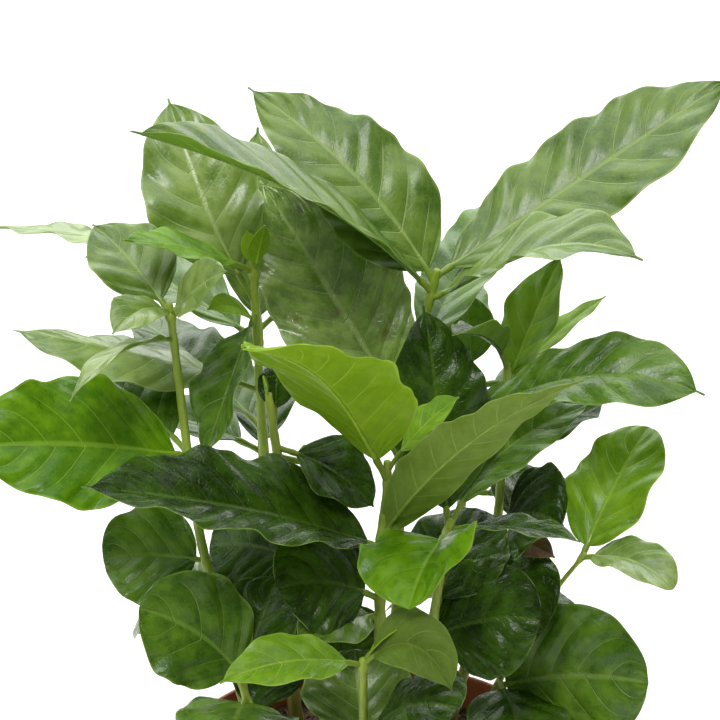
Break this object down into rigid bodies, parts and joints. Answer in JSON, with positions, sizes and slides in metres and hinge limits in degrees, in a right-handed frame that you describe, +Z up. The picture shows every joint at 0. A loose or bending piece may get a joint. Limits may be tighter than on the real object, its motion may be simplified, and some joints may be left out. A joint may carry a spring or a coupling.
{
  "type": "potted coffee plant",
  "caption": "Clump of young coffee seedlings with glossy opposite leaves, growing together from soil in a tapered nursery pot.",
  "frame": {"origin": "middle of the pot's flat underside, on the surface that it stands on", "axes": "+Z up, -Y towards the front that the picture shows, +X to the right"},
  "size_m": [0.2308, 0.1957, 0.3151],
  "materials": {
    "pot": "satin moulded terracotta-coloured plastic",
    "soil": "dark crumbly potting soil",
    "stem": "young green stem turning brown",
    "leaf": "glossy green leaf with sunken veins",
    "seed_leaf": "glossy dark green round leaf"
  },
  "bodies": {
    "root": {"pot": "pot", "soil": "soil", "stem_tall_right": "stem", "stem_tall_left": "stem", "stem_centre": "stem", "stem_left": "stem", "stem_front": "stem", "stem_far_right": "stem", "stem_right": "stem", "stem_inner_right": "stem", "stem_inner_left": "stem", "stem_front_left": "stem", "stem_back_left": "stem", "stem_back_right": "stem", "crown_tall_right": "leaf", "crown_tall_left": "leaf", "crown_centre": "leaf", "crown_left": "leaf", "crown_front": "leaf", "crown_far_right": "leaf", "crown_right": "leaf", "crown_inner_right": "leaf", "crown_inner_left": "leaf", "crown_front_left": "leaf", "crown_back_left": "leaf", "crown_back_right": "leaf", "seed_leaves_centre": "seed_leaf", "seed_leaves_left": "seed_leaf", "seed_leaves_far_right": "seed_leaf", "seed_leaves_right": "seed_leaf", "seed_leaves_inner_right": "seed_leaf", "seed_leaves_inner_left": "seed_leaf", "seed_leaves_back_left": "seed_leaf", "seed_leaves_back_right": "seed_leaf"}
  },
  "joints": []
}
